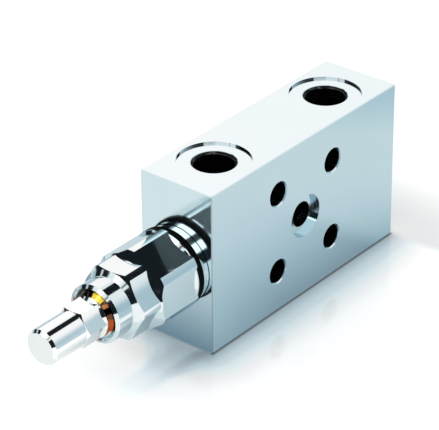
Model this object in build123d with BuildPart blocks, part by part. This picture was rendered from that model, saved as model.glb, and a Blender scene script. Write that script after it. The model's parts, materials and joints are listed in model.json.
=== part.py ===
from build123d import *
import math
import os

os.makedirs("parts", exist_ok=True)

# Counterbalance valve: a drilled block with a screwed-in, adjustable cartridge.
# Frame: origin at the centre of the block's bottom face, +Z up, +X along the block
# away from the cartridge's adjusting end, bolt face towards -Y.
# A station is a distance along +X from the block's end face that the cartridge
# sits on, so the pieces outside the block have negative stations.

# Block
block_length = 135.0
block_width = 40.0
block_height = 80.0
block_edge_break = 0.4
axis_height = 40.0

# Threaded ports in the top face
port_minor_radius = 9.32
port_mouth_chamfer = 1.2
port_thread_depth = 15.0
port_drill_radius = 7.0
spotface_radius = 17.0
spotface_depth = 1.0
left_port_inset = 26.5
right_port_inset = 27.5

# Flange face: four bolt holes round a port with a seal recess
bolt_spacing_x = 40.0
bolt_spacing_z = 40.0
bolt_hole_radius = 5.5
bolt_mouth_chamfer = 0.75
flange_inset = 67.0
flange_port_height = 40.5
flange_port_radius = 6.0
seal_recess_radius = 10.4
seal_recess_depth = 2.6

# Clearances
thread_clearance = 0.1
slide_clearance = 0.08
seal_clearance = 0.05
seat_gap = 0.06
shoulder_gap = 0.5
edge_bevel = 0.3

# Cavity in the block, in lengths from the end face inwards
cavity_thread_length = 18.0
pilot_chamber_length = 17.0
pilot_chamber_radius = 14.8
land_lead_in = 1.5
land_length = 19.5
flow_chamber_length = 22.0
flow_chamber_radius = 13.4
nose_land_length = 14.0
nose_chamber_length = 26.0
nose_chamber_radius = 9.3
cavity_bevel = 0.8

# Cartridge body outside the block
flange_thickness = 4.3
flange_radius = 18.4
seal_groove_width = 3.1
seal_groove_radius = 15.5
flange_seal_radius = 18.7
flange_seal_rounding = 1.0
body_hex_length = 23.6
body_hex_across_flats = 36.0
body_hex_corner_radius = 19.8
body_hex_turn = 28.4
body_front_bevel = 1.5
body_rim_radius = 19.2
body_rim_width = 1.0

# Cartridge body inside the block
body_thread_radius = 16.4
body_thread_length = 14.0
thread_depth = 1.8
barrel_radius = 12.6
land_radius = 11.9
body_overrun = 2.0

# Bores of the cartridge body
bonnet_thread_radius = 14.9
bonnet_thread_length = 20.0
spring_chamber_radius = 10.8
piston_bore_radius = 8.5
piston_bore_length = 21.0
pilot_wall = 1.0
pilot_hole_radius = 1.6
pilot_hole_count = 4
pilot_hole_turn = 45.0
stem_bore_radius = 5.5
cage_thread_length = 9.0
cage_thread_wall = 2.3

# O-rings and back-up rings of the two lands
land_o_ring_width = 2.4
backup_ring_width = 1.2
land_groove_depth = 2.0
o_ring_rounding = 0.6
flat_ring_rounding = 0.15
nose_land_radius = 11.1

# Small O-rings on the piston, the stem, the screw and the bonnet
small_ring_width = 2.4
small_groove_depth = 1.9

# Cage
cage_radius = 10.4
cage_seat_depth = 13.0
cage_nose_length = 4.5
cage_nose_wall = 1.7
cage_nose_clearance = 0.4
seat_shoulder = 0.8
window_radius = 2.6
window_setback = 5.5
window_count = 6

# Check sleeve, its spring and its stop
check_sleeve_length = 12.0
check_sleeve_wall = 2.2
check_land_length = 3.0
check_waist_depth = 0.9
check_hole_radius = 1.2
check_hole_count = 4
check_wire_radius = 0.6
check_spring_turns = 3.5
stop_washer_thickness = 1.2
stop_washer_wall = 2.9
retaining_ring_thickness = 1.1
retaining_ring_width = 1.9
retaining_ring_gap = 5.0
ring_groove_depth = 0.7
ring_cover = 1.7

# Relief poppet
piston_length = 12.0
piston_setback = 1.0
poppet_head_length = 9.0
poppet_head_clearance = 1.0
poppet_seat_land = 1.3
poppet_tip_radius = 2.0
poppet_neck_radius = 3.6
spigot_radius = 3.6
spigot_length = 7.0

# Main spring and its seats
main_spring_radius = 8.2
main_wire_radius = 1.6
main_spring_turns = 6.5
runs_per_turn = 16
wire_sides = 8
lower_seat_thickness = 3.0
upper_seat_thickness = 4.0
upper_guide_length = 5.0
lower_guide_length = 2.3
spring_guide_clearance = 0.3

# Bonnet
bonnet_hex_length = 12.4
bonnet_hex_across_flats = 32.0
bonnet_hex_corner_radius = 17.65
bonnet_hex_turn = -1.0
bonnet_rim_radius = 18.3
bonnet_rim_rise = 2.8
collar_length = 9.8
collar_radius = 13.9
collar_bevel = 1.4
bonnet_spigot_length = 19.0
adjust_bore_radius = 10.5
screw_thread_length = 11.5
ring_pocket_depth = 3.8

# Adjusting screw
screw_radius = 6.0
screw_head_gap = 2.0
screw_head_length = 7.0
screw_nose_radius = 4.5
screw_nose_length = 2.0
screw_tip_gap = 4.0
screw_socket_across_flats = 6.0
screw_socket_depth = 7.0

# Cap nut and its seal ring
seal_ring_stand = 1.7
seal_ring_radius = 10.7
seal_ring_front_radius = 8.2
cap_hex_length = 11.7
cap_hex_across_flats = 17.0
cap_hex_turn = -0.7
cap_rim_width = 0.3
cap_length = 19.8
cap_radius = 8.4
cap_bevel = 1.3
cap_end_wall = 4.5

# Stations of the cavity
pilot_chamber_end = cavity_thread_length + pilot_chamber_length
land_start = pilot_chamber_end + land_lead_in
flow_chamber_start = land_start + land_length
flow_chamber_end = flow_chamber_start + flow_chamber_length
nose_land_end = flow_chamber_end + nose_land_length
nose_chamber_end = nose_land_end + nose_chamber_length

# Stations outside the block
flange_front = -flange_thickness
body_hex_rear = flange_front - seal_groove_width
body_front = body_hex_rear - body_hex_length
bonnet_hex_front = body_front - bonnet_hex_length
bonnet_cone_length = bonnet_hex_across_flats / 2 - collar_radius
collar_rear = bonnet_hex_front - bonnet_cone_length
bonnet_front = collar_rear - collar_length
cap_rear = bonnet_front - seal_ring_stand
cap_hex_front = cap_rear - cap_hex_length
cap_front = cap_hex_front - cap_length

# Stations of the two seal grooves
land_groove_length = land_o_ring_width + 2 * backup_ring_width
land_groove_start = land_start + (land_length - land_groove_length) / 2 - body_overrun
nose_groove_start = flow_chamber_end + (nose_land_length - land_groove_length) / 2

# Stations inside the cartridge body and the cage
body_end = flow_chamber_start + body_overrun
cage_thread_start = body_end - cage_thread_length
stem_groove_start = cage_thread_start - 2 * small_ring_width
piston_bore_end = pilot_chamber_end - pilot_wall
spring_chamber_end = piston_bore_end - piston_bore_length
bonnet_thread_end = body_front + bonnet_thread_length
piston_start = spring_chamber_end - piston_setback
piston_end = piston_start + piston_length
pilot_hole_station = (piston_end + piston_bore_end) / 2
cage_seat = body_end + cage_seat_depth
window_station = cage_seat - window_setback
cage_land_start = flow_chamber_end + shoulder_gap
cage_nose_start = nose_land_end - shoulder_gap
cage_end = cage_nose_start + cage_nose_length
retaining_ring_start = cage_end - ring_cover - retaining_ring_thickness
stop_washer_start = retaining_ring_start - stop_washer_thickness
check_sleeve_end = cage_seat + check_sleeve_length

# Stations inside the bonnet and the cap nut
ring_pocket_end = bonnet_front + ring_pocket_depth
adjust_bore_start = ring_pocket_end + screw_thread_length
bonnet_end = body_front + bonnet_spigot_length
screw_head_start = adjust_bore_start + screw_head_gap
screw_head_end = screw_head_start + screw_head_length
upper_seat_start = screw_head_end + screw_nose_length
upper_seat_face = upper_seat_start + upper_seat_thickness
cap_bore_end = cap_front + cap_end_wall
screw_start = cap_bore_end + screw_tip_gap

# Radii that follow from the sizes above
port_mouth_radius = port_minor_radius + port_mouth_chamfer
cavity_thread_radius = body_thread_radius + thread_clearance
land_bore_radius = land_radius + thread_clearance
nose_bore_radius = nose_land_radius + thread_clearance
land_groove_radius = land_radius - land_groove_depth
nose_groove_radius = nose_land_radius - land_groove_depth
cage_thread_radius = land_radius - cage_thread_wall
check_bore_radius = nose_groove_radius - cage_nose_wall
cage_entry_radius = check_bore_radius - seat_shoulder
check_sleeve_radius = check_bore_radius - slide_clearance
check_sleeve_bore = check_bore_radius - check_sleeve_wall
poppet_head_radius = cage_entry_radius - poppet_head_clearance
poppet_seat_radius = poppet_head_radius - poppet_seat_land
piston_radius = piston_bore_radius - slide_clearance
stem_radius = stem_bore_radius - slide_clearance
spring_guide_radius = main_spring_radius - main_wire_radius - spring_guide_clearance
spring_seat_radius = main_spring_radius + main_wire_radius
screw_head_radius = adjust_bore_radius - slide_clearance
cap_bore_radius = screw_radius + thread_clearance
ring_pocket_radius = seal_ring_radius + thread_clearance
cap_rim_radius = cap_hex_across_flats / math.sqrt(3)

chamfer_slope = math.tan(math.radians(30))
end_face_x = -block_length / 2
left_port_x = end_face_x + left_port_inset
right_port_x = block_length / 2 - right_port_inset
flange_x = end_face_x + flange_inset

# Plane through the cartridge's axis: x is the station and y the radius
section = Plane(origin=(end_face_x, 0, axis_height), x_dir=(1, 0, 0), z_dir=(0, -1, 0))
centre_line = Axis((end_face_x, 0, axis_height), (1, 0, 0))


def cross_plane(station):
    """Plane square to the cartridge's axis, with x towards +Y and y upwards."""
    origin = (end_face_x + station, 0, axis_height)
    return Plane(origin=origin, x_dir=(0, 1, 0), z_dir=(1, 0, 0))


def radial_plane(station, turn):
    """Plane on the cartridge's axis that faces outwards at a turn in degrees."""
    origin = (end_face_x + station, 0, axis_height)
    outward = (0, math.cos(math.radians(turn)), math.sin(math.radians(turn)))
    return Plane(origin=origin, x_dir=(1, 0, 0), z_dir=outward)


def seal(label, start, width, inner_radius, outer_radius, rounding):
    """A ring round the cartridge's axis with rounded corners."""
    middle = (start + width / 2, (inner_radius + outer_radius) / 2)
    with BuildPart() as ring:
        with BuildSketch(section):
            with Locations(middle):
                RectangleRounded(width, outer_radius - inner_radius, rounding)
        revolve(axis=centre_line)
    ring.part.label = label
    export_step(ring.part, f"parts/{label}.step")


def coil_spring(label, start, end, coil_radius, wire_radius, turns):
    """A coil spring between two stations, wound from short straight runs of wire."""
    runs = round(turns * runs_per_turn)
    rise = (end - start - 2 * wire_radius) / runs
    turn_step = 2 * math.pi / runs_per_turn
    points = [
        (coil_radius * math.cos(i * turn_step), coil_radius * math.sin(i * turn_step), i * rise)
        for i in range(runs + 1)
    ]
    with BuildPart() as spring:
        with BuildLine(cross_plane(start + wire_radius)) as coil:
            Polyline(*points)
        with BuildSketch(Plane(origin=coil.line @ 0, z_dir=coil.line % 0)):
            RegularPolygon(wire_radius, wire_sides)
        sweep(transition=Transition.RIGHT)
    spring.part.label = label
    export_step(spring.part, f"parts/{label}.step")


# Block with the cartridge's cavity, the ports and the flange pattern
spotface_floor = block_height - spotface_depth
with BuildPart() as manifold_block:
    with BuildSketch():
        Rectangle(block_length, block_width)
    extrude(amount=block_height)
    chamfer(manifold_block.edges(), block_edge_break)
    with BuildSketch(section):
        with BuildLine():
            Polyline(
                (-cavity_bevel, 0),
                (-cavity_bevel, cavity_thread_radius + 2 * cavity_bevel),
                (cavity_bevel, cavity_thread_radius),
                (cavity_thread_length, cavity_thread_radius),
                (cavity_thread_length, pilot_chamber_radius),
                (pilot_chamber_end, pilot_chamber_radius),
                (pilot_chamber_end, land_bore_radius + land_lead_in / 2),
                (land_start, land_bore_radius),
                (flow_chamber_start, land_bore_radius),
                (flow_chamber_start, flow_chamber_radius),
                (flow_chamber_end, flow_chamber_radius),
                (flow_chamber_end, nose_bore_radius),
                (nose_land_end, nose_bore_radius),
                (nose_land_end, nose_chamber_radius),
                (nose_chamber_end, nose_chamber_radius),
                (nose_chamber_end + nose_chamber_radius * chamfer_slope, 0),
                close=True,
            )
        make_face()
    revolve(axis=centre_line, mode=Mode.SUBTRACT)
    with BuildSketch(Plane.XY.offset(spotface_floor)):
        with Locations((left_port_x, 0), (right_port_x, 0)):
            Circle(spotface_radius)
    extrude(amount=spotface_depth, mode=Mode.SUBTRACT)
    with Locations((left_port_x, 0, spotface_floor), (right_port_x, 0, spotface_floor)):
        CounterSinkHole(
            port_minor_radius, port_mouth_radius, depth=port_thread_depth, counter_sink_angle=90
        )
        Hole(port_drill_radius, depth=spotface_floor - axis_height)
    flange_plane = Plane(
        origin=(flange_x, -block_width / 2, flange_port_height), x_dir=(1, 0, 0), z_dir=(0, -1, 0)
    )
    with Locations(flange_plane):
        CounterBoreHole(
            flange_port_radius, seal_recess_radius, seal_recess_depth, depth=block_width / 2
        )
        with GridLocations(bolt_spacing_x, bolt_spacing_z, 2, 2):
            CounterSinkHole(
                bolt_hole_radius,
                bolt_hole_radius + bolt_mouth_chamfer,
                depth=block_width,
                counter_sink_angle=90,
            )
manifold_block.part.label = "manifold_block"
export_step(manifold_block.part, "parts/manifold_block.step")

# Cartridge body: long hexagon, seal groove, flange, thread, barrel and seal land
rim_front = body_hex_rear - body_rim_width
rim_rise = body_rim_radius - seal_groove_radius
relief_radius = body_thread_radius - thread_depth
with BuildPart() as cartridge_body:
    with BuildSketch(section):
        with BuildLine():
            Polyline(
                (body_front, 0),
                (body_front, body_hex_corner_radius - body_front_bevel),
                (body_front + body_front_bevel, body_hex_corner_radius),
                (body_hex_rear, body_hex_corner_radius),
                (body_hex_rear, 0),
                close=True,
            )
        make_face()
    revolve(axis=centre_line)
    with BuildSketch(cross_plane(body_front)):
        RegularPolygon(body_hex_across_flats / 2, 6, major_radius=False, rotation=body_hex_turn)
    extrude(amount=body_hex_length, mode=Mode.INTERSECT)
    with BuildSketch(section):
        with BuildLine():
            Polyline(
                (rim_front - rim_rise, 0),
                (rim_front - rim_rise, seal_groove_radius),
                (rim_front, body_rim_radius),
                (body_hex_rear, body_rim_radius),
                (body_hex_rear, seal_groove_radius),
                (flange_front, seal_groove_radius),
                (flange_front, flange_radius - edge_bevel),
                (flange_front + edge_bevel, flange_radius),
                (-edge_bevel, flange_radius),
                (0, flange_radius - edge_bevel),
                (0, body_thread_radius),
                (body_thread_length - thread_depth, body_thread_radius),
                (body_thread_length, relief_radius),
                (cavity_thread_length, relief_radius),
                (cavity_thread_length, barrel_radius),
                (pilot_chamber_end - shoulder_gap, barrel_radius),
                (land_start, land_radius),
                (land_groove_start, land_radius),
                (land_groove_start, land_groove_radius),
                (land_groove_start + land_groove_length, land_groove_radius),
                (land_groove_start + land_groove_length, land_radius),
                (body_end - edge_bevel, land_radius),
                (body_end, land_radius - edge_bevel),
                (body_end, 0),
                close=True,
            )
        make_face()
    revolve(axis=centre_line)
    with BuildSketch(section):
        with BuildLine():
            Polyline(
                (body_front, 0),
                (body_front, bonnet_thread_radius + thread_clearance),
                (bonnet_thread_end, bonnet_thread_radius + thread_clearance),
                (bonnet_thread_end, spring_chamber_radius),
                (spring_chamber_end, spring_chamber_radius),
                (spring_chamber_end, piston_bore_radius),
                (piston_bore_end, piston_bore_radius),
                (piston_bore_end, stem_bore_radius),
                (stem_groove_start, stem_bore_radius),
                (stem_groove_start, stem_bore_radius + small_groove_depth),
                (stem_groove_start + small_ring_width, stem_bore_radius + small_groove_depth),
                (stem_groove_start + small_ring_width, stem_bore_radius),
                (cage_thread_start, stem_bore_radius),
                (cage_thread_start, cage_thread_radius),
                (body_end, cage_thread_radius),
                (body_end, 0),
                close=True,
            )
        make_face()
    revolve(axis=centre_line, mode=Mode.SUBTRACT)
    for hole in range(pilot_hole_count):
        turn = pilot_hole_turn + hole * 360 / pilot_hole_count
        with BuildSketch(radial_plane(pilot_hole_station, turn)):
            Circle(pilot_hole_radius)
        extrude(amount=body_thread_radius, mode=Mode.SUBTRACT)
cartridge_body.part.label = "cartridge_body"
export_step(cartridge_body.part, "parts/cartridge_body.step")

# Seals between the cartridge and the block
seal(
    "flange_seal_ring",
    body_hex_rear,
    seal_groove_width,
    seal_groove_radius + seal_clearance,
    flange_seal_radius,
    flange_seal_rounding,
)
for land, groove_start, groove_radius, bore_radius in (
    ("body", land_groove_start, land_groove_radius, land_bore_radius),
    ("cage", nose_groove_start, nose_groove_radius, nose_bore_radius),
):
    o_ring_start = groove_start + backup_ring_width
    o_ring_end = o_ring_start + land_o_ring_width
    inner = groove_radius + seal_clearance
    outer = bore_radius - seal_clearance
    seal(f"{land}_backup_ring_outer", groove_start, backup_ring_width, inner, outer, flat_ring_rounding)
    seal(f"{land}_o_ring", o_ring_start, land_o_ring_width, inner, outer, o_ring_rounding)
    seal(f"{land}_backup_ring_inner", o_ring_end, backup_ring_width, inner, outer, flat_ring_rounding)

# Cage: screwed into the body, with side windows, the check bore and a seal land
with BuildPart() as cage:
    with BuildSketch(section):
        with BuildLine():
            Polyline(
                (cage_thread_start + shoulder_gap, cage_entry_radius),
                (cage_thread_start + shoulder_gap, cage_thread_radius - thread_clearance),
                (body_end, cage_thread_radius - thread_clearance),
                (body_end, cage_radius),
                (cage_land_start, cage_radius),
                (cage_land_start + edge_bevel, nose_land_radius),
                (nose_groove_start, nose_land_radius),
                (nose_groove_start, nose_groove_radius),
                (nose_groove_start + land_groove_length, nose_groove_radius),
                (nose_groove_start + land_groove_length, nose_land_radius),
                (cage_nose_start - edge_bevel, nose_land_radius),
                (cage_nose_start, nose_land_radius - edge_bevel),
                (cage_nose_start, nose_chamber_radius - cage_nose_clearance),
                (cage_end, nose_chamber_radius - cage_nose_clearance),
                (cage_end, check_bore_radius),
                (retaining_ring_start + retaining_ring_thickness, check_bore_radius),
                (retaining_ring_start + retaining_ring_thickness, check_bore_radius + ring_groove_depth),
                (retaining_ring_start, check_bore_radius + ring_groove_depth),
                (retaining_ring_start, check_bore_radius),
                (cage_seat, check_bore_radius),
                (cage_seat, cage_entry_radius),
                close=True,
            )
        make_face()
    revolve(axis=centre_line)
    for window in range(window_count):
        with BuildSketch(radial_plane(window_station, window * 360 / window_count)):
            Circle(window_radius)
        extrude(amount=2 * cage_radius, mode=Mode.SUBTRACT)
cage.part.label = "cage"
export_step(cage.part, "parts/cage.step")

# Check sleeve: the moving seat, relieved between two guide lands
waist_radius = check_sleeve_radius - check_waist_depth
sleeve_middle = cage_seat + check_sleeve_length / 2
with BuildPart() as check_sleeve:
    with BuildSketch(section):
        with BuildLine():
            Polyline(
                (cage_seat, poppet_seat_radius),
                (cage_seat, check_sleeve_radius),
                (cage_seat + check_land_length, check_sleeve_radius),
                (cage_seat + check_land_length + check_waist_depth, waist_radius),
                (check_sleeve_end - check_land_length - check_waist_depth, waist_radius),
                (check_sleeve_end - check_land_length, check_sleeve_radius),
                (check_sleeve_end, check_sleeve_radius),
                (check_sleeve_end, check_sleeve_bore),
                (cage_seat + check_land_length, check_sleeve_bore),
                (cage_seat + check_land_length / 2, poppet_seat_radius),
                close=True,
            )
        make_face()
    revolve(axis=centre_line)
    for hole in range(check_hole_count):
        with BuildSketch(radial_plane(sleeve_middle, hole * 360 / check_hole_count)):
            Circle(check_hole_radius)
        extrude(amount=check_sleeve_radius, mode=Mode.SUBTRACT)
check_sleeve.part.label = "check_sleeve"
export_step(check_sleeve.part, "parts/check_sleeve.step")

coil_spring(
    "check_spring",
    check_sleeve_end,
    stop_washer_start,
    check_bore_radius - check_wire_radius - 2 * slide_clearance,
    check_wire_radius,
    check_spring_turns,
)
seal(
    "spring_stop_washer",
    stop_washer_start,
    stop_washer_thickness,
    check_bore_radius - stop_washer_wall,
    check_bore_radius - seal_clearance,
    flat_ring_rounding,
)

# Retaining ring that snaps into the cage's nose
with BuildPart() as retaining_ring:
    with BuildSketch(cross_plane(retaining_ring_start)):
        Circle(check_bore_radius + ring_groove_depth - seal_clearance)
        Circle(check_bore_radius + ring_groove_depth - retaining_ring_width, mode=Mode.SUBTRACT)
        with Locations((0, -check_bore_radius)):
            Rectangle(retaining_ring_gap, 3 * retaining_ring_width, mode=Mode.SUBTRACT)
    extrude(amount=retaining_ring_thickness)
retaining_ring.part.label = "retaining_ring"
export_step(retaining_ring.part, "parts/retaining_ring.step")

# Relief poppet: spring spigot, pilot piston, guided stem, neck and seat cone
spigot_start = piston_start - spigot_length
piston_groove_start = piston_start + (piston_length - small_ring_width) / 2
stem_end = cage_thread_start + cage_thread_length / 2
head_start = cage_seat - poppet_head_length
cone_face = cage_seat - seat_gap + poppet_seat_radius
with BuildPart() as relief_poppet:
    with BuildSketch(section):
        with BuildLine():
            Polyline(
                (spigot_start, 0),
                (spigot_start, spigot_radius - 2 * edge_bevel),
                (spigot_start + 2 * edge_bevel, spigot_radius),
                (piston_start, spigot_radius),
                (piston_start, piston_radius - edge_bevel),
                (piston_start + edge_bevel, piston_radius),
                (piston_groove_start, piston_radius),
                (piston_groove_start, piston_radius - small_groove_depth),
                (piston_groove_start + small_ring_width, piston_radius - small_groove_depth),
                (piston_groove_start + small_ring_width, piston_radius),
                (piston_end - edge_bevel, piston_radius),
                (piston_end, piston_radius - edge_bevel),
                (piston_end, stem_radius),
                (stem_end, stem_radius),
                (stem_end + stem_radius - poppet_neck_radius, poppet_neck_radius),
                (head_start - poppet_head_radius + poppet_neck_radius, poppet_neck_radius),
                (head_start, poppet_head_radius),
                (cone_face - poppet_head_radius, poppet_head_radius),
                (cone_face - poppet_tip_radius, poppet_tip_radius),
                (cone_face - poppet_tip_radius, 0),
                close=True,
            )
        make_face()
    revolve(axis=centre_line)
relief_poppet.part.label = "relief_poppet"
export_step(relief_poppet.part, "parts/relief_poppet.step")

seal(
    "piston_o_ring",
    piston_groove_start,
    small_ring_width,
    piston_radius - small_groove_depth + seal_clearance,
    piston_bore_radius - seal_clearance,
    o_ring_rounding,
)
seal(
    "stem_o_ring",
    stem_groove_start,
    small_ring_width,
    stem_bore_radius - seal_clearance,
    stem_bore_radius + small_groove_depth - seal_clearance,
    o_ring_rounding,
)

# Lower spring seat on the poppet's spigot, with a guide inside the spring
lower_seat_face = piston_start - lower_seat_thickness
with BuildPart() as lower_spring_seat:
    with BuildSketch(section):
        with BuildLine():
            Polyline(
                (piston_start, spigot_radius + slide_clearance),
                (piston_start, spring_seat_radius),
                (lower_seat_face, spring_seat_radius),
                (lower_seat_face, spring_guide_radius),
                (lower_seat_face - lower_guide_length, spring_guide_radius - 2 * edge_bevel),
                (lower_seat_face - lower_guide_length, spigot_radius + slide_clearance),
                close=True,
            )
        make_face()
    revolve(axis=centre_line)
lower_spring_seat.part.label = "lower_spring_seat"
export_step(lower_spring_seat.part, "parts/lower_spring_seat.step")

coil_spring(
    "main_spring",
    upper_seat_face,
    lower_seat_face,
    main_spring_radius,
    main_wire_radius,
    main_spring_turns,
)

# Upper spring seat, pushed by the adjusting screw's nose
with BuildPart() as upper_spring_seat:
    with BuildSketch(section):
        with BuildLine():
            Polyline(
                (upper_seat_start, 0),
                (upper_seat_start, screw_head_radius - 2 * edge_bevel),
                (upper_seat_start + 2 * edge_bevel, screw_head_radius),
                (upper_seat_face, screw_head_radius),
                (upper_seat_face, spring_guide_radius),
                (upper_seat_face + upper_guide_length, spring_guide_radius - 2 * edge_bevel),
                (upper_seat_face + upper_guide_length, 0),
                close=True,
            )
        make_face()
    revolve(axis=centre_line)
upper_spring_seat.part.label = "upper_spring_seat"
export_step(upper_spring_seat.part, "parts/upper_spring_seat.step")

# Adjusting screw: thread, sealed head, nose and hexagon socket in the outer end
screw_groove_start = screw_head_start + (screw_head_length - small_ring_width) / 2
screw_groove_radius = screw_head_radius - small_groove_depth
with BuildPart() as adjusting_screw:
    with BuildSketch(section):
        with BuildLine():
            Polyline(
                (screw_start, 0),
                (screw_start, screw_radius - 3 * edge_bevel),
                (screw_start + 3 * edge_bevel, screw_radius),
                (screw_head_start, screw_radius),
                (screw_head_start, screw_head_radius - edge_bevel),
                (screw_head_start + edge_bevel, screw_head_radius),
                (screw_groove_start, screw_head_radius),
                (screw_groove_start, screw_groove_radius),
                (screw_groove_start + small_ring_width, screw_groove_radius),
                (screw_groove_start + small_ring_width, screw_head_radius),
                (screw_head_end - edge_bevel, screw_head_radius),
                (screw_head_end, screw_head_radius - edge_bevel),
                (screw_head_end, screw_nose_radius + screw_nose_length / 2),
                (upper_seat_start, screw_nose_radius),
                (upper_seat_start, 0),
                close=True,
            )
        make_face()
    revolve(axis=centre_line)
    with BuildSketch(cross_plane(screw_start)):
        RegularPolygon(screw_socket_across_flats / 2, 6, major_radius=False)
    extrude(amount=screw_socket_depth, mode=Mode.SUBTRACT)
adjusting_screw.part.label = "adjusting_screw"
export_step(adjusting_screw.part, "parts/adjusting_screw.step")

seal(
    "screw_o_ring",
    screw_groove_start,
    small_ring_width,
    screw_groove_radius + seal_clearance,
    adjust_bore_radius - seal_clearance,
    o_ring_rounding,
)

# Bonnet: collar with the ring's pocket, cone, hexagon with a flared foot, spigot
bonnet_groove_start = body_front + small_ring_width / 2
bonnet_groove_radius = bonnet_thread_radius - small_groove_depth
hex_bevel = (bonnet_hex_corner_radius - bonnet_hex_across_flats / 2) * chamfer_slope
ring_pocket_rim = collar_radius - collar_bevel
with BuildPart() as bonnet:
    with BuildSketch(section):
        with BuildLine():
            Polyline(
                (bonnet_hex_front, 0),
                (bonnet_hex_front, bonnet_hex_across_flats / 2),
                (bonnet_hex_front + hex_bevel, bonnet_hex_corner_radius),
                (body_front, bonnet_hex_corner_radius),
                (body_front, 0),
                close=True,
            )
        make_face()
    revolve(axis=centre_line)
    with BuildSketch(cross_plane(bonnet_hex_front)):
        RegularPolygon(
            bonnet_hex_across_flats / 2, 6, major_radius=False, rotation=bonnet_hex_turn
        )
    extrude(amount=bonnet_hex_length, mode=Mode.INTERSECT)
    with BuildSketch(section):
        with BuildLine():
            Polyline(
                (bonnet_front, 0),
                (bonnet_front, collar_radius - collar_bevel),
                (bonnet_front + collar_bevel, collar_radius),
                (collar_rear, collar_radius),
                (bonnet_hex_front, bonnet_hex_across_flats / 2),
                (bonnet_hex_front, bonnet_thread_radius - thread_depth),
                (body_front - bonnet_rim_rise, bonnet_thread_radius - thread_depth),
                (body_front - bonnet_rim_rise, bonnet_rim_radius - bonnet_rim_rise),
                (body_front, bonnet_rim_radius),
                (body_front, bonnet_thread_radius),
                (bonnet_groove_start, bonnet_thread_radius),
                (bonnet_groove_start, bonnet_groove_radius),
                (bonnet_groove_start + small_ring_width, bonnet_groove_radius),
                (bonnet_groove_start + small_ring_width, bonnet_thread_radius),
                (bonnet_end - 2 * edge_bevel, bonnet_thread_radius),
                (bonnet_end, bonnet_thread_radius - 2 * edge_bevel),
                (bonnet_end, 0),
                close=True,
            )
        make_face()
    revolve(axis=centre_line)
    with BuildSketch(section):
        with BuildLine():
            Polyline(
                (bonnet_front, 0),
                (bonnet_front, ring_pocket_rim),
                (bonnet_front + ring_pocket_rim - ring_pocket_radius, ring_pocket_radius),
                (ring_pocket_end, ring_pocket_radius),
                (ring_pocket_end, cap_bore_radius),
                (adjust_bore_start, cap_bore_radius),
                (adjust_bore_start, adjust_bore_radius),
                (bonnet_end, adjust_bore_radius),
                (bonnet_end, 0),
                close=True,
            )
        make_face()
    revolve(axis=centre_line, mode=Mode.SUBTRACT)
bonnet.part.label = "bonnet"
export_step(bonnet.part, "parts/bonnet.step")

seal(
    "bonnet_o_ring",
    bonnet_groove_start,
    small_ring_width,
    bonnet_groove_radius + seal_clearance,
    bonnet_thread_radius + thread_clearance - seal_clearance,
    o_ring_rounding,
)

# Seal ring clamped between the cap nut and the bonnet's pocket
with BuildPart() as seal_ring:
    with BuildSketch(section):
        with BuildLine():
            Polyline(
                (cap_rear, cap_bore_radius + thread_clearance),
                (cap_rear, seal_ring_front_radius),
                (cap_rear + seal_ring_radius - seal_ring_front_radius, seal_ring_radius),
                (ring_pocket_end, seal_ring_radius),
                (ring_pocket_end, cap_bore_radius + thread_clearance),
                close=True,
            )
        make_face()
    revolve(axis=centre_line)
seal_ring.part.label = "seal_ring"
export_step(seal_ring.part, "parts/seal_ring.step")

# Cap nut: closed plain cap with a hexagon foot that flares to a thin rim
cap_hex_bevel = (cap_rim_radius - cap_radius) * chamfer_slope
cap_rim_front = cap_rear - cap_rim_width
cap_rim_rise = cap_rim_radius - cap_bore_radius
with BuildPart() as cap_nut:
    with BuildSketch(section):
        with BuildLine():
            Polyline(
                (cap_hex_front, 0),
                (cap_hex_front, cap_radius),
                (cap_hex_front + cap_hex_bevel, cap_rim_radius),
                (cap_rear, cap_rim_radius),
                (cap_rear, 0),
                close=True,
            )
        make_face()
    revolve(axis=centre_line)
    with BuildSketch(cross_plane(cap_hex_front)):
        RegularPolygon(cap_hex_across_flats / 2, 6, major_radius=False, rotation=cap_hex_turn)
    extrude(amount=cap_hex_length, mode=Mode.INTERSECT)
    with BuildSketch(section):
        with BuildLine():
            Polyline(
                (cap_front, 0),
                (cap_front, cap_radius - cap_bevel),
                (cap_front + cap_bevel, cap_radius),
                (cap_hex_front, cap_radius),
                (cap_hex_front, cap_bore_radius),
                (cap_rim_front - cap_rim_rise, cap_bore_radius),
                (cap_rim_front, cap_rim_radius),
                (cap_rear, cap_rim_radius),
                (cap_rear, 0),
                close=True,
            )
        make_face()
    revolve(axis=centre_line)
    with BuildSketch(section):
        with BuildLine():
            Polyline(
                (cap_rear, 0),
                (cap_rear, cap_bore_radius + 2 * edge_bevel),
                (cap_rear - 2 * edge_bevel, cap_bore_radius),
                (cap_bore_end, cap_bore_radius),
                (cap_bore_end, 0),
                close=True,
            )
        make_face()
    revolve(axis=centre_line, mode=Mode.SUBTRACT)
cap_nut.part.label = "cap_nut"
export_step(cap_nut.part, "parts/cap_nut.step")
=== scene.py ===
import bpy
import bmesh
import json
import math
from mathutils import Matrix, Vector


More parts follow.
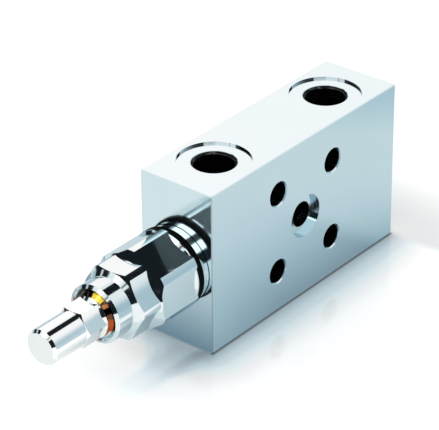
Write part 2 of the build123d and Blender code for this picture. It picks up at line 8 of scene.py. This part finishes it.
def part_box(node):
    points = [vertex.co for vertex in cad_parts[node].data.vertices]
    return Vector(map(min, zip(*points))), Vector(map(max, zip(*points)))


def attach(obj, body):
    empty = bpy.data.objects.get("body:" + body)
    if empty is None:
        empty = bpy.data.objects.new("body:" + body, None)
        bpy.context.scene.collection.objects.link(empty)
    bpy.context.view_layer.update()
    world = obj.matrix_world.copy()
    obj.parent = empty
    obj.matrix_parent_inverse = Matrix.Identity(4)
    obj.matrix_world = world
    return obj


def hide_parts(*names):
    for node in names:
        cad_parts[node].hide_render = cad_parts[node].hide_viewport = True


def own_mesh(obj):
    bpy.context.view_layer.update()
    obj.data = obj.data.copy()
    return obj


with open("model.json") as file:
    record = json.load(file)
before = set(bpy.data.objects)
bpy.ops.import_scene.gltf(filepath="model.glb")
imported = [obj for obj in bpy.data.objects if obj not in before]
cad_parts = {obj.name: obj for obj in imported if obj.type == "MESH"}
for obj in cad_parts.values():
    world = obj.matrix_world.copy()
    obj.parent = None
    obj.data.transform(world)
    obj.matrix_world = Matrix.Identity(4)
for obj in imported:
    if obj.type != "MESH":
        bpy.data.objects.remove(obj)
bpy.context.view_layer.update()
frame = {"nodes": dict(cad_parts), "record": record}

# The camera's place and lens as the photograph shows the block, in metres
CAMERA_PLACE = Vector((-0.7909, -0.6150, 0.6120))
CAMERA_AIM = Vector((0.6709, 0.5477, -0.5000))
CAMERA_ROLL = -0.457
CAMERA_LENS = 206.9

# Places on the valve in millimetres, as the CAD model has them
AXIS_HEIGHT = 40.0
BLOCK_END = -67.5
BLOCK_HALF_LENGTH = 67.5
BLOCK_HALF_WIDTH = 20.0
PORT_CENTRES = (-41.0, 40.0)
SPOTFACE_HEIGHT = 79.0
SPOTFACE_RADIUS = 17.0
FLANGE_CENTRE = (-0.5, 40.5)
BOLT_OFFSET = 20.0

# Stretches along the valve where a material leans the surface's direction
BONNET_CROWN = (-110.9, -98.5)
BONNET_FLARE = (-100.4, -98.2)
CAP_CROWN = (-136.2, -125.0)
BODY_CONE = (-99.0, -94.5)

# Radii between which the painted shade in each kind of hole ends
PORT_DARK = (10.6, 10.8)
BOLT_DARK = (5.6, 5.8)
FLANGE_DARK = (6.1, 6.3)
CAVITY_DARK = (17.4, 17.8)

# The flange seal as the photograph shows it, from the block's end face
SEAL_FRONT = -8.3
SEAL_REAR = -3.9
SEAL_RADIUS = 19.3
SEAL_INNER_RADIUS = 17.6
SEAL_END_DROP = 0.75
SEAL_VALLEY_DEPTH = 0.28
SEAL_VALLEY_SHARE = 0.09

# Each spring's node, turns and wire radius, and how far its joint presses it
MAIN_SPRING = ("main_spring", 6.5, 1.6)
CHECK_SPRING = ("check_spring", 3.5, 0.6)
SCREW_TRAVEL = 4.5
RELIEF_LIFT = 2.5
CHECK_OPEN = 3.0
STEPS_PER_TURN = 24
WIRE_SIDES = 10

MILLIMETRES_PER_METRE = 1000.0
DEGREES_PER_RADIAN = 57.2958

# Colours used more than once
WHITE = (1.0, 1.0, 1.0)
# A painted contact shadow on the floor at the foot of the valve
CONTACT_SHADE = (0.12, 0.14, 0.15)
PLATING = (0.60, 0.75, 0.80)


class Value:
    """A number or vector that varies over a surface; arithmetic on it adds Math nodes."""

    def __init__(self, finish, socket):
        self.finish = finish
        self.socket = socket

    def __add__(self, other):
        return self.finish.maths("ADD", self, other)

    def __radd__(self, other):
        return self.finish.maths("ADD", other, self)

    def __sub__(self, other):
        return self.finish.maths("SUBTRACT", self, other)

    def __rsub__(self, other):
        return self.finish.maths("SUBTRACT", other, self)

    def __mul__(self, other):
        return self.finish.maths("MULTIPLY", self, other)

    def __rmul__(self, other):
        return self.finish.maths("MULTIPLY", other, self)

    def __truediv__(self, other):
        return self.finish.maths("DIVIDE", self, other)

    def __abs__(self):
        return self.finish.maths("ABSOLUTE", self)

    def __neg__(self):
        return self.finish.maths("MULTIPLY", self, -1.0)


class Finish:
    """The node tree of one material, or of the world."""

    def __init__(self, tree):
        self.tree = tree
        tree.nodes.clear()

    def node(self, kind, settings=None, inputs=None, output=0):
        """Adds a node: its settings first, then the values or links of its sockets."""
        made = self.tree.nodes.new(kind)
        for name, setting in (settings or {}).items():
            if name == "stops":
                ramp = made.color_ramp
                while len(ramp.elements) < len(setting):
                    ramp.elements.new(0.5)
                for element, (place, colour) in zip(ramp.elements, setting):
                    element.position = place
                    element.color = (*colour, 1.0)
            else:
                setattr(made, name, setting)
        for name, given in (inputs or {}).items():
            if isinstance(given, Value):
                self.tree.links.new(given.socket, made.inputs[name])
            else:
                made.inputs[name].default_value = given
        return Value(self, made.outputs[output]) if made.outputs else None

    def maths(self, operation, *terms, clamp=False):
        settings = {"operation": operation, "use_clamp": clamp}
        return self.node("ShaderNodeMath", settings, dict(enumerate(terms)))

    def clamped(self, value):
        """A value kept between 0 and 1."""
        return self.maths("ADD", value, 0.0, clamp=True)

    def step(self, value, low, high):
        """0 below low, 1 above high and a smooth rise between them."""
        settings = {"interpolation_type": "SMOOTHSTEP"}
        inputs = {"Value": value, "From Min": low, "From Max": high}
        return self.node("ShaderNodeMapRange", settings, inputs)

    def band(self, value, low, high, soft):
        """1 between two values and 0 outside them."""
        rise = self.step(value, low - soft, low + soft)
        fall = self.step(value, high - soft, high + soft)
        return rise * (1.0 - fall)

    def blend(self, share, first, second):
        """A colour between two colours."""
        inputs = {0: share, 6: self.colour(first), 7: self.colour(second)}
        return self.node("ShaderNodeMix", {"data_type": "RGBA"}, inputs, output=2)

    def colour(self, given):
        return given if isinstance(given, Value) else (*given, 1.0)

    def stretched(self, vector, scale):
        settings = {"operation": "MULTIPLY"}
        return self.node("ShaderNodeVectorMath", settings, {0: vector, 1: scale})

    def split(self, vector):
        made = self.node("ShaderNodeSeparateXYZ", inputs={"Vector": vector})
        outputs = made.socket.node.outputs
        return [Value(self, outputs[letter]) for letter in "XYZ"]

    def joined(self, x, y, z):
        return self.node("ShaderNodeCombineXYZ", None, {"X": x, "Y": y, "Z": z})

    def radius(self, across, up):
        return self.maths("SQRT", across * across + up * up)

    def degrees(self, up, across):
        """The angle of a place round a centre, in degrees."""
        return self.maths("ARCTAN2", up, across) * DEGREES_PER_RADIAN

    def millimetres(self):
        """The place on the part at rest, in millimetres."""
        place = self.node("ShaderNodeTexCoord", output="Object")
        return self.stretched(place, (MILLIMETRES_PER_METRE,) * 3)

    def noise(self, vector, size, detail=2.0, roughness=0.5):
        """Even noise around 0.5 whose spots are about a given size across."""
        inputs = {"Vector": vector, "Scale": 1.0 / size, "Detail": detail, "Roughness": roughness}
        return self.node("ShaderNodeTexNoise", {"noise_dimensions": "3D"}, inputs)

    def normal(self):
        """The direction the surface faces."""
        return self.node("ShaderNodeNewGeometry", output="Normal")

    def leaned(self, along, up=0.0):
        """The surface's direction, leaned along the valve and upwards."""
        lean = self.joined(along, 0.0, up)
        leant = self.node("ShaderNodeVectorMath", {"operation": "ADD"}, {0: self.normal(), 1: lean})
        return self.node("ShaderNodeVectorMath", {"operation": "NORMALIZE"}, {0: leant})

    def bump(self, height, normal=None):
        """A normal bent by a height in millimetres."""
        inputs = {"Height": height, "Distance": 0.001}
        if normal:
            inputs["Normal"] = normal
        return self.node("ShaderNodeBump", None, inputs)

    def surface(self, fixed, varying):
        """The Principled shader with its constants and its varying inputs."""
        shader = self.node("ShaderNodeBsdfPrincipled", None, {**fixed, **varying})
        self.node("ShaderNodeOutputMaterial", None, {"Surface": shader})


def finish_for(name):
    material = bpy.data.materials.new(name)
    material.use_nodes = True
    return material, Finish(material.node_tree)


def studio():
    """A white room; what shines also sees dark panels, called flags, and a lamp in it."""
    world = bpy.data.worlds.new("studio")
    world.use_nodes = True
    bpy.context.scene.world = world
    finish = Finish(world.node_tree)
    direction = finish.node("ShaderNodeTexCoord", output="Generated")
    across, deep, up = finish.split(direction)
    high_flag = finish.band(deep, -0.235, 0.175, 0.015)
    high_flag = high_flag * finish.step(across, 0.15, 0.25) * finish.step(up, 0.3, 0.4)
    back_flag = finish.step(deep, 0.55, 0.65) * finish.band(up, 0.15, 0.62, 0.03)
    back_flag = back_flag * (1.0 - finish.step(across, 0.15, 0.25))
    back_flag = back_flag * (1.0 - finish.band(up, 0.38, 0.45, 0.02))
    slope = up + 3.34 * across
    front_flag = finish.step(up, -0.015, 0.015) * (1.0 - finish.step(slope, -1.90, -1.85))
    front_flag = front_flag * (1.0 - finish.step(deep, -0.35, -0.31))
    gap = finish.step(deep, -0.365, -0.34) * (1.0 - finish.step(deep, -0.085, -0.055))
    gap = gap * finish.step(up, 0.5, 0.55)
    gap = gap * finish.band(across, -0.70, -0.45, 0.01)
    wall = (1.0 - finish.step(across, -0.45, -0.38)) * finish.step(up, -0.02, 0.01)
    wall = wall * (1.0 - finish.step(up, 0.40, 0.45))
    patch = 0.85 * finish.band(deep, -0.225, -0.155, 0.02) * (1.0 - finish.step(across, -0.71, -0.70))
    low_flags = wall + patch + front_flag
    flags = finish.maths("ADD", high_flag + gap, back_flag + low_flags, clamp=True)
    room = finish.blend(finish.step(up, 0.2, 0.62), (0.58, 0.68, 0.73), (1.24, 1.12, 1.08))
    lamp = finish.step(up, 0.3, 0.4) * finish.band(across, -0.70, -0.64, 0.01)
    room = finish.blend(lamp * (1.0 - finish.step(deep, 0.5, 0.58)), room, (3.4, 2.9, 2.7))
    behind = finish.step(across, 0.35, 0.5) * finish.step(deep, 0.3, 0.4) * finish.step(up, 0.1, 0.3)
    rear = finish.blend(finish.step(across, 0.65, 0.74), (1.57, 1.28, 1.20), (1.45, 1.23, 1.15))
    room = finish.blend(behind, room, rear)
    seen = finish.blend(flags, room, (0.012, 0.015, 0.018))
    scattered = finish.node("ShaderNodeLightPath", output="Diffuse Depth")
    seen = finish.blend(finish.step(scattered, 0.3, 0.7), seen, WHITE)
    glossy = finish.node("ShaderNodeLightPath", output="Is Glossy Ray")
    light = finish.blend(glossy, WHITE, seen)
    shader = finish.node("ShaderNodeBackground", None, {"Color": light, "Strength": 1.0})
    finish.node("ShaderNodeOutputWorld", None, {"Surface": shader})
    world.cycles.sampling_method = "NONE"


def turned(name, profile, steps=144):
    """A ring turned from points of place along the axis and radius, in millimetres."""
    shape = bmesh.new()
    rows = []
    for number in range(steps):
        angle = 2.0 * math.pi * number / steps
        across = -math.cos(angle)
        up = math.sin(angle)
        row = []
        for along, radius in profile:
            place = (BLOCK_END + along, radius * across, AXIS_HEIGHT + radius * up)
            row.append(shape.verts.new([part / MILLIMETRES_PER_METRE for part in place]))
        rows.append(row)
    count = len(profile)
    for number in range(steps):
        here = rows[number]
        there = rows[(number + 1) % steps]
        for point in range(count):
            after = (point + 1) % count
            shape.faces.new((here[point], here[after], there[after], there[point]))
    bmesh.ops.recalc_face_normals(shape, faces=shape.faces)
    for face in shape.faces:
        face.smooth = True
    return mesh_object(name, shape)


def seal_lips():
    """The flange seal: two rounded lips with a shallow valley between them."""
    outline = [(SEAL_REAR, SEAL_INNER_RADIUS), (SEAL_FRONT, SEAL_INNER_RADIUS)]
    points = 36
    for number in range(points + 1):
        share = number / points
        along = SEAL_FRONT + (SEAL_REAR - SEAL_FRONT) * share
        end_rounding = math.sqrt(max(0.0, 1.0 - abs(2.0 * share - 1.0) ** 6))
        valley = SEAL_VALLEY_DEPTH * math.exp(-((share - 0.5) / SEAL_VALLEY_SHARE) ** 2)
        outline.append((along, SEAL_RADIUS - SEAL_END_DROP * (1.0 - end_rounding) - valley))
    made = turned("flange_seal_lips", outline)
    made.data.materials.append(FINISHES["flange_seal_rubber"])
    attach(made, "housing")
    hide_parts("flange_seal_ring")


def coil(name, spring, stretch, still, travel):
    """Spring wire over a stretch of a spring's length, at rest; nothing presses it to the still end."""
    node, turns, wire = spring
    first, last = stretch
    low, high = [[MILLIMETRES_PER_METRE * part for part in corner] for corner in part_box(node)]
    start = low[0] + wire
    length = high[0] - wire - start
    radius = (high[1] - low[1]) / 2.0 - wire
    shape = bmesh.new()
    rows = []
    steps = round(turns * (last - first) * STEPS_PER_TURN)
    for number in range(steps + 1):
        share = first + (last - first) * number / steps
        angle = 2.0 * math.pi * turns * share
        row = []
        for side in range(WIRE_SIDES):
            around = 2.0 * math.pi * side / WIRE_SIDES
            reach = radius + wire * math.cos(around)
            along = start + length * share + wire * math.sin(around)
            place = (along, reach * math.cos(angle), AXIS_HEIGHT + reach * math.sin(angle))
            row.append(shape.verts.new([part / MILLIMETRES_PER_METRE for part in place]))
        rows.append(row)
    for here, there in zip(rows, rows[1:]):
        for side in range(WIRE_SIDES):
            after = (side + 1) % WIRE_SIDES
            shape.faces.new((here[side], here[after], there[after], there[side]))
    shape.faces.new(rows[0])
    shape.faces.new(list(reversed(rows[-1])))
    bmesh.ops.recalc_face_normals(shape, faces=shape.faces)
    for face in shape.faces:
        face.smooth = len(face.verts) == 4
    made = mesh_object(name, shape)
    made.data.materials.append(FINISHES["spring_steel"])
    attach(made, "housing")
    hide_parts(node)
    thickness = (last - first) * (high[0] - low[0])
    anchor = low[0] + (high[0] - low[0]) * still
    place = (anchor / MILLIMETRES_PER_METRE, 0.0, AXIS_HEIGHT / MILLIMETRES_PER_METRE)
    1.0 - (travel + 0.02) / thickness
    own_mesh(made)


def springs():
    """The two springs, at rest: the main one in two halves, and the check spring."""
    coil("main_spring_front_half", MAIN_SPRING, (0.0, 0.5), 0.5, SCREW_TRAVEL)
    coil("main_spring_rear_half", MAIN_SPRING, (0.5, 1.0), 0.5, RELIEF_LIFT)
    coil("check_spring_coil", CHECK_SPRING, (0.0, 1.0), 1.0, CHECK_OPEN)


def mesh_object(name, shape):
    mesh = bpy.data.meshes.new(name)
    shape.to_mesh(mesh)
    shape.free()
    made = bpy.data.objects.new(name, mesh)
    bpy.context.scene.collection.objects.link(made)
    return made


def floor():
    """A pale floor with painted shadow round the valve and a painted glow away from it; what shines sees
    a painted picture of it, darker where the valve stands over it.
    """
    shape = bmesh.new()
    bmesh.ops.create_grid(shape, x_segments=1, y_segments=1, size=4.0)
    made = mesh_object("floor", shape)
    material, finish = finish_for("pale floor")
    x, y, _ = finish.split(finish.millimetres())
    beside = finish.maths("MAXIMUM", abs(x) - BLOCK_HALF_LENGTH, 0.0)
    ahead = finish.maths("MAXIMUM", abs(y) - BLOCK_HALF_WIDTH, 0.0)
    away = finish.radius(beside, ahead)
    # Painted contact shadow along the foot of the front face
    contact = finish.maths("MAXIMUM", finish.step(away, 0.2, 1.2), finish.step(y, -19.5, -18.5))
    left = BLOCK_END - x
    under_valve = finish.step(left, 0.0, 4.0) * finish.band(y, -21.0, 1.0, 6.0)
    beyond = finish.step(x, 64.0, 72.0)

    # Painted shadow: the floor's colour darkens towards the valve, reaching further out under its
    # overhang
    width = 20.0 + 3.0 * finish.step(x, -60.0, -30.0)
    stops = (
        (0.06, (0.33, 0.42, 0.49)), (0.15, (0.43, 0.54, 0.60)), (0.30, (0.60, 0.71, 0.76)),
        (0.45, (0.69, 0.79, 0.84)), (0.55, (0.80, 0.89, 0.92)), (0.75, (0.92, 0.97, 0.98)),
        (0.90, (0.97, 0.97, 0.97)),
    )
    outwards = away * (1.0 - 0.68 * under_valve) / width
    shade = finish.node("ShaderNodeValToRGB", {"stops": stops}, {0: outwards})
    # Painted soft shade on the floor past the block's far end
    soft = finish.blend(finish.step(away, 15.0, 52.0), (0.76, 0.78, 0.79), (0.97, 0.97, 0.97))
    shade = finish.blend(beyond, shade, soft)
    shade = finish.blend(contact, CONTACT_SHADE, shade)
    matt = finish.node("ShaderNodeBsdfDiffuse", None, {"Color": shade})
    shine = {"Color": (*WHITE, 1.0), "Roughness": 0.06}
    mirror = finish.node("ShaderNodeBsdfGlossy", None, shine)
    share = finish.maths("MAXIMUM", 0.13 - away * (0.13 / 48.0), 0.0)
    plain = finish.node("ShaderNodeMixShader", None, {0: share, 1: matt, 2: mirror})
    # Painted glow that brightens the floor away from the valve, on top of an even glow
    painted_glow_rise = 0.125 * finish.step(away, 15.0, 31.0) * (1.0 - beyond)
    strength = 0.06 + painted_glow_rise + 0.08 * finish.step(away, 35.0, 60.0)
    painted_glow = finish.node("ShaderNodeEmission", None, {"Color": (*WHITE, 1.0), "Strength": strength})
    plain = finish.node("ShaderNodeAddShader", None, {0: plain, 1: painted_glow})

    # What shiny surfaces see in the floor is painted: painted shadow near and under the valve, and
    # painted light past its ends and at the open corner
    open_right = 22.0 * finish.step(x, 46.0, 70.0)
    open_left = 8.0 * (1.0 - finish.step(x, -57.0, -5.0))
    reach = (away + open_right + open_left) / 90.0
    stops = (
        (0.03, (0.367, 0.423, 0.468)), (0.10, (0.419, 0.493, 0.540)), (0.18, (0.483, 0.557, 0.603)),
        (0.30, (0.583, 0.662, 0.694)), (0.43, (0.700, 0.745, 0.760)), (0.61, (0.810, 0.830, 0.846)),
        (0.80, (0.880, 0.880, 0.890)), (1.00, (0.895, 0.900, 0.885)),
    )
    in_front = finish.node("ShaderNodeValToRGB", {"stops": stops}, {0: reach})
    in_front = finish.blend(finish.step(away, 95.0, 150.0), in_front, (0.66, 0.75, 0.79))
    clear_front = 1.0 - finish.step(y, -46.0, -22.0)
    lit = left * 0.017 + clear_front * (0.34 + left * 0.022)
    under = finish.blend(finish.clamped(lit), (0.24, 0.32, 0.38), (1.02, 1.00, 0.97))
    under = finish.blend(finish.step(left, 40.0, 70.0), under, (1.12, 1.05, 1.00))
    seen = finish.blend(finish.step(left, -1.0, 1.0), in_front, under)
    open_corner = finish.step(-89.5 - y - 0.39 * x, -4.0, 6.0) * (1.0 - finish.step(x, -38.0, -25.0))
    seen = finish.blend(open_corner, seen, (1.45, 1.25, 1.20))
    seen = finish.blend(contact, CONTACT_SHADE, seen)
    reflected = finish.node("ShaderNodeEmission", None, {"Color": seen, "Strength": 1.0})
    glossy = finish.node("ShaderNodeLightPath", output="Is Glossy Ray")
    whole = finish.node("ShaderNodeMixShader", None, {0: glossy, 1: plain, 2: reflected})
    finish.node("ShaderNodeOutputMaterial", None, {"Surface": whole})
    made.data.materials.append(material)


def camera():
    """The camera at the photograph's place, angle and lens."""
    data = bpy.data.cameras.new("camera")
    data.lens = CAMERA_LENS
    data.sensor_width = 36.0
    data.sensor_fit = "HORIZONTAL"
    data.clip_end = 20.0
    made = bpy.data.objects.new("camera", data)
    bpy.context.scene.collection.objects.link(made)
    aim = CAMERA_AIM.normalized()
    level = aim.cross(Vector((0, 0, 1))).normalized()
    upright = level.cross(aim)
    roll = math.radians(CAMERA_ROLL)
    right = math.cos(roll) * level + math.sin(roll) * upright
    top = math.cos(roll) * upright - math.sin(roll) * level
    turn = Matrix((right, top, -aim)).transposed().to_4x4()
    made.matrix_world = Matrix.Translation(CAMERA_PLACE) @ turn
    bpy.context.scene.camera = made


def block_plating():
    """Bright plating on ground steel, with painted shade down its ports and holes, a painted shadow line
    round the flange's joint and painted highlight and shade on the spotface walls.
    """
    material, finish = finish_for("block plating")
    place = finish.millimetres()
    x, y, z = finish.split(place)
    # Painted shade down the ports, bolt holes, flange port and cavity, laid on by place
    holes = []
    for centre in PORT_CENTRES:
        radius = finish.radius(x - centre, y)
        holes.append((1.0 - finish.step(radius, *PORT_DARK)) * finish.band(z, 20.0, 78.8, 0.07))
    across = abs(x - FLANGE_CENTRE[0])
    up = abs(z - FLANGE_CENTRE[1])
    bolt_radius = finish.radius(across - BOLT_OFFSET, up - BOLT_OFFSET)
    flange_side = 1.0 - finish.step(y, 15.0, 16.0)
    holes.append((1.0 - finish.step(bolt_radius, *BOLT_DARK)) * flange_side)
    holes.append((1.0 - finish.step(finish.radius(across, up), *FLANGE_DARK)) * flange_side)
    cavity = finish.radius(y, z - AXIS_HEIGHT)
    inside = finish.step(x, BLOCK_END + 0.3, BLOCK_END + 0.9)
    holes.append((1.0 - finish.step(cavity, *CAVITY_DARK)) * inside * (1.0 - finish.step(x, 60.0, 61.0)))
    painted_hole_shade = holes[0]
    for hole in holes[1:]:
        painted_hole_shade = finish.maths("MAXIMUM", painted_hole_shade, hole)
    lay = finish.noise(finish.stretched(place, (0.04, 1.5, 1.5)), 1.0, detail=3.0)
    grain = finish.noise(place, 0.3, detail=1.0)
    cloud = finish.noise(place, 35.0)
    plating = finish.blend(cloud, (0.55, 0.72, 0.785), (0.58, 0.75, 0.815))
    # Painted shadow line on the end face round the flange, where the two meet
    joint = finish.band(cavity, 18.1, 18.7, 0.1) * (1.0 - inside)
    plating = finish.blend(joint, plating, (0.03, 0.035, 0.04))
    # The painted shade's colour, with faint painted streaks in it
    streaks = finish.noise(finish.stretched(place, (0.5, 0.05, 1.6)), 1.0, detail=3.0)
    hole_shade_colour = finish.blend(finish.step(streaks, 0.45, 0.75), (0.008, 0.009, 0.010), (0.11, 0.13, 0.15))
    colour = finish.blend(painted_hole_shade, plating, hole_shade_colour)
    facing_x, facing_y, facing_z = finish.split(finish.normal())
    corner = finish.step(facing_x * facing_y, 0.2, 0.3)
    above_floor = finish.step(z, SPOTFACE_HEIGHT, SPOTFACE_HEIGHT + 0.02)
    upright = (1.0 - finish.step(facing_z, 0.3, 0.5)) * above_floor
    # Painted highlight and painted shade on the spotface walls, by the angle round each port
    for centre in PORT_CENTRES:
        radius = finish.radius(x - centre, y)
        around = finish.degrees(y, x - centre)
        milled = upright * (1.0 - finish.step(radius, SPOTFACE_RADIUS + 0.1, SPOTFACE_RADIUS + 0.3))
        painted_wall_shade = finish.blend(finish.step(around, 65.0, 105.0), (0.02, 0.025, 0.03), (0.50, 0.62, 0.68))
        painted_highlight = finish.band(around, 5.0, 55.0, 1.5)
        colour = finish.blend(milled, colour, finish.blend(painted_highlight, painted_wall_shade, WHITE))
    polish = 0.04 + 0.03 * lay + 0.05 * grain + 0.04 * (1.0 - inside)
    varying = {
        "Base Color": colour,
        "Roughness": polish + painted_hole_shade * 0.3,
        "Normal": finish.bump(0.001 * lay + 0.003 * grain, finish.leaned(0.707 * corner)),
    }
    finish.surface({"Metallic": 1.0}, varying)
    return material


def turned_plating(name, colour, roughness, crown=None, cone=None):
    """Bright plating; crown and cone lean the surface's direction over a stretch of the valve."""
    material, finish = finish_for(name)
    place = finish.millimetres()
    x, y, z = finish.split(place)
    radius = finish.radius(y, z - AXIS_HEIGHT)
    rings = finish.noise(finish.joined(x, radius, 0.0), 0.25, detail=2.0)
    grain = finish.noise(place, 0.3, detail=1.0)
    cloud = finish.noise(place, 14.0)
    darker = tuple(0.94 * part for part in colour)
    towards, _, upwards = finish.split(finish.normal())
    along = 0.0
    lift = 0.0
    if crown:
        front, rear = crown
        zone_share = finish.clamped((rear - x) / (rear - front))
        on_hexagon = finish.band(x, front, rear, 0.1) * finish.step(towards, -0.4, -0.3)
        angle = finish.degrees(z - AXIS_HEIGHT, -y)
        along = along - 0.06 * zone_share * on_hexagon
        lift = lift + 0.38 * finish.step(angle, 30.0, 58.0) * on_hexagon
    if cone:
        in_zone = finish.band(x, *cone, 0.2)
        sloping = finish.band(towards, -0.9, -0.4, 0.05) * in_zone
        high = finish.step(upwards, 0.4, 0.5)
        low = finish.band(upwards, 0.06, 0.27, 0.02)
        flat = (1.0 - finish.step(towards, -0.97, -0.92)) * in_zone
        along = along - 0.5 * sloping * high
        lift = lift + 0.25 * sloping * low + 0.45 * flat
    facing = finish.leaned(along, lift)
    varying = {
        "Base Color": finish.blend(cloud, darker, colour),
        "Roughness": roughness + 0.05 * rings + 0.05 * grain,
        "Normal": finish.bump(0.0015 * rings, facing),
    }
    finish.surface({"Metallic": 1.0}, varying)
    return material


def ring_brass():
    """Turned brass with painted reflections round the axis: a brown side, dark bands, an orange glint
    and a pale highlight beside a yellow band.
    """
    material, finish = finish_for("brass with painted reflections")
    place = finish.millimetres()
    x, y, z = finish.split(place)
    up = z - AXIS_HEIGHT
    radius = finish.radius(y, up)
    angle = finish.degrees(up, -y)
    patch = finish.noise(place, 1.2, detail=3.0)
    edge = angle + 14.0 * (patch - 0.5)
    rings = finish.noise(finish.joined(x, radius, 0.0), 0.2)
    # Brass yellow only from about 55 to 95 degrees round the axis; elsewhere painted reflections: a
    # brown side, dark bands and a pale highlight on the outer edge
    brown = finish.blend(finish.step(angle, -60.0, -20.0), (0.50, 0.17, 0.05), (0.31, 0.075, 0.02))
    painted_highlight = finish.step(radius, 9.9, 10.1) * (1.0 - finish.step(angle, -32.0, -24.0))
    brown = finish.blend(painted_highlight, brown, (0.62, 0.70, 0.72))
    # Painted orange glint, on rougher metal
    zone_share = finish.band(edge, 40.0, 50.0, 1.0)
    colour = finish.blend(finish.step(edge, 5.0, 12.0), brown, (0.10, 0.05, 0.03))
    colour = finish.blend(zone_share, colour, (0.80, 0.38, 0.12))
    colour = finish.blend(finish.step(edge, 54.0, 58.0), colour, (0.74, 0.58, 0.075))
    colour = finish.blend(finish.step(edge, 90.0, 96.0), colour, (0.05, 0.03, 0.02))
    varying = {
        "Base Color": colour,
        "Roughness": 0.05 + 0.05 * rings + 0.40 * zone_share,
        "Normal": finish.bump(0.0015 * rings),
    }
    finish.surface({"Metallic": 1.0}, varying)
    return material


def seal_rubber(name, colour, shine):
    """Moulded rubber with a dull skin."""
    material, finish = finish_for(name)
    place = finish.millimetres()
    skin = finish.noise(place, 0.4, detail=3.0)
    cloud = finish.noise(place, 6.0)
    lighter = tuple(1.5 * part for part in colour)
    varying = {
        "Base Color": finish.blend(cloud, colour, lighter),
        "Roughness": 0.42 + 0.2 * skin,
        "Normal": finish.bump(0.01 * skin),
    }
    finish.surface({"Specular IOR Level": shine}, varying)
    return material


def backup_plastic():
    """Pale, waxy ring plastic."""
    material, finish = finish_for("ring plastic")
    place = finish.millimetres()
    cloud = finish.noise(place, 5.0)
    varying = {
        "Base Color": finish.blend(cloud, (0.78, 0.77, 0.70), (0.86, 0.85, 0.79)),
        "Roughness": 0.38 + 0.12 * cloud,
    }
    finish.surface({"Subsurface Weight": 0.05}, varying)
    return material


FINISHES = {
    "block_steel": block_plating(),
    "body_steel": turned_plating("body plating", PLATING, 0.01, cone=BODY_CONE),
    "bonnet_steel": turned_plating("bonnet plating", PLATING, 0.03, BONNET_CROWN, BONNET_FLARE),
    "cap_steel": turned_plating("cap plating", (0.76, 0.86, 0.89), 0.03, CAP_CROWN),
    "yellow_metal": ring_brass(),
    "flange_seal_rubber": seal_rubber("flange seal rubber", (0.002, 0.002, 0.002), 0.03),
    "seal_rubber": seal_rubber("inner seal rubber", (0.02, 0.02, 0.02), 0.25),
    "backup_plastic": backup_plastic(),
    "inner_steel": turned_plating("ground steel", (0.56, 0.57, 0.58), 0.2),
    "screw_steel": turned_plating("turned steel", (0.50, 0.51, 0.52), 0.22),
    "spring_steel": turned_plating("drawn wire", (0.40, 0.41, 0.42), 0.3),
}

for part in frame["record"]["subparts"]:
    node = frame["nodes"][part["node"]]
    for slot in node.material_slots:
        slot.material = FINISHES[part["material_slot"]]

bpy.context.scene.view_settings.view_transform = "Standard"
seal_lips()
springs()
studio()
floor()
camera()
